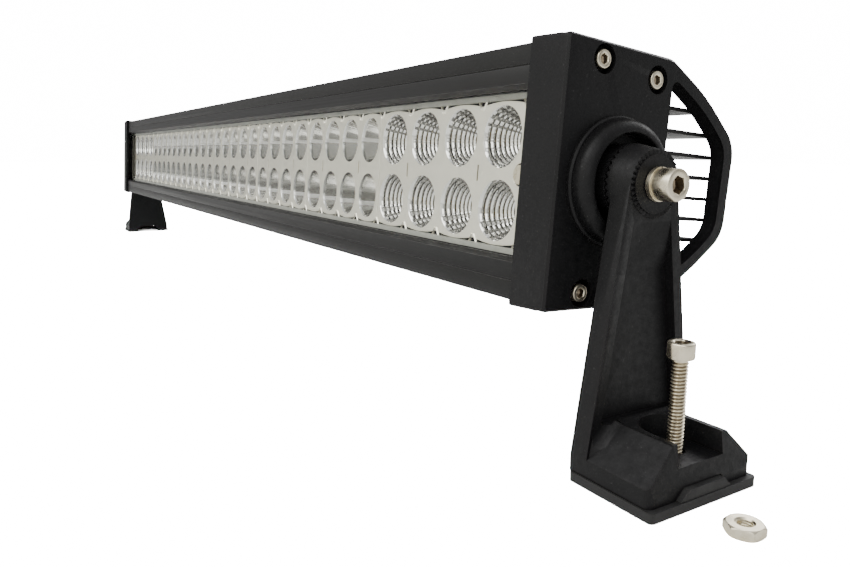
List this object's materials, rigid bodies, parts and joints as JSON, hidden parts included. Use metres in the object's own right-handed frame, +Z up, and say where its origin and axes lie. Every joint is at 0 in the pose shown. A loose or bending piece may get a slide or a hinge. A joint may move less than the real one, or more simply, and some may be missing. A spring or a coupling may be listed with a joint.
{
  "type": "led light bar",
  "caption": "Long straight LED light bar with a ribbed heat-sink back, guarded end caps and a serrated pivot at each end on a footed mounting bracket.",
  "frame": {"origin": "centre of the overall bounding box on the mounting surface, with the loose nuts lying on it", "axes": "+X along the bar towards its right end, the light shines towards -Y, +Z up away from the mounting surface"},
  "size_m": [0.8832, 0.0848, 0.1331],
  "materials": {
    "black_extrusion": "black anodised, satin",
    "black_casting": "fine matt powder coat",
    "reflector": "vacuum-metallised, bright",
    "clear_lens": "clear, gloss",
    "silicone": "grey silicone bead",
    "nickel": "nickel-plated, satin",
    "white_board": "white solder mask",
    "green_board": "green solder mask",
    "led_yellow": "phosphor under a clear dome",
    "components": "moulded component cases",
    "black_plastic": "black nylon",
    "black_rubber": "matt black rubber"
  },
  "bodies": {
    "right_bracket": {"bracket_right": "black_casting", "foot_pad_right": "black_rubber"},
    "lamp": {"housing": "black_extrusion", "lens": "clear_lens", "lens_seal": "silicone", "flood_reflector_right": "reflector", "flood_reflector_left": "reflector", "spot_reflector_1": "reflector", "spot_reflector_2": "reflector", "spot_reflector_3": "reflector", "spot_reflector_4": "reflector", "spot_reflector_5": "reflector", "spot_reflector_6": "reflector", "reflector_screws": "nickel", "flood_board_right": "white_board", "flood_board_left": "white_board", "spot_board_1": "white_board", "spot_board_2": "white_board", "spot_board_3": "white_board", "spot_board_4": "white_board", "spot_board_5": "white_board", "spot_board_6": "white_board", "led_emitters": "led_yellow", "board_screws": "nickel", "driver_board": "green_board", "driver_parts": "components", "gland_body": "black_plastic", "gland_seal": "black_rubber", "gland_nut": "black_plastic", "vent_plug": "black_plastic", "end_cap_right": "black_casting", "end_cap_left": "black_casting", "cap_gasket_right": "black_rubber", "cap_gasket_left": "black_rubber", "cap_screws_right": "nickel", "cap_screws_left": "nickel", "pivot_bolt_right": "nickel", "pivot_bolt_left": "nickel", "pivot_washer_right": "nickel", "pivot_washer_left": "nickel"},
    "left_bracket": {"bracket_left": "black_casting", "foot_pad_left": "black_rubber"},
    "right_mount_bolt": {"mount_bolt_right": "nickel"},
    "left_mount_bolt": {"mount_bolt_left": "nickel"},
    "right_mount_nut": {"mount_nut_right": "nickel"},
    "left_mount_nut": {"mount_nut_left": "nickel"}
  },
  "joints": [
    {"name": "tilt", "type": "hinge", "parent": "right_bracket", "child": "lamp", "pos_m": [0.3805, -0.01522, 0.0893], "axis": [1, 0, 0], "range_deg": [-90, 90]},
    {"name": "left_pivot", "type": "hinge", "parent": "lamp", "child": "left_bracket", "pos_m": [-0.3805, -0.01522, 0.0893], "axis": [1, 0, 0], "range_deg": [-90, 90]},
    {"name": "right_bolt_slide", "type": "slide", "parent": "right_bracket", "child": "right_mount_bolt", "axis": [0, 0, 1], "range_m": [-0.028, 0.01]},
    {"name": "left_bolt_slide", "type": "slide", "parent": "left_bracket", "child": "left_mount_bolt", "axis": [0, 0, 1], "range_m": [-0.028, 0.01]},
    {"name": "right_nut_lift", "type": "slide", "parent": "right_bracket", "child": "right_mount_nut", "axis": [0, 0, 1], "range_m": [0, 0.03]},
    {"name": "left_nut_lift", "type": "slide", "parent": "left_bracket", "child": "left_mount_nut", "axis": [0, 0, 1], "range_m": [0, 0.03]}
  ],
  "couplings": [
    {"joint": "left_pivot", "follows": "tilt", "ratio": -1}
  ]
}
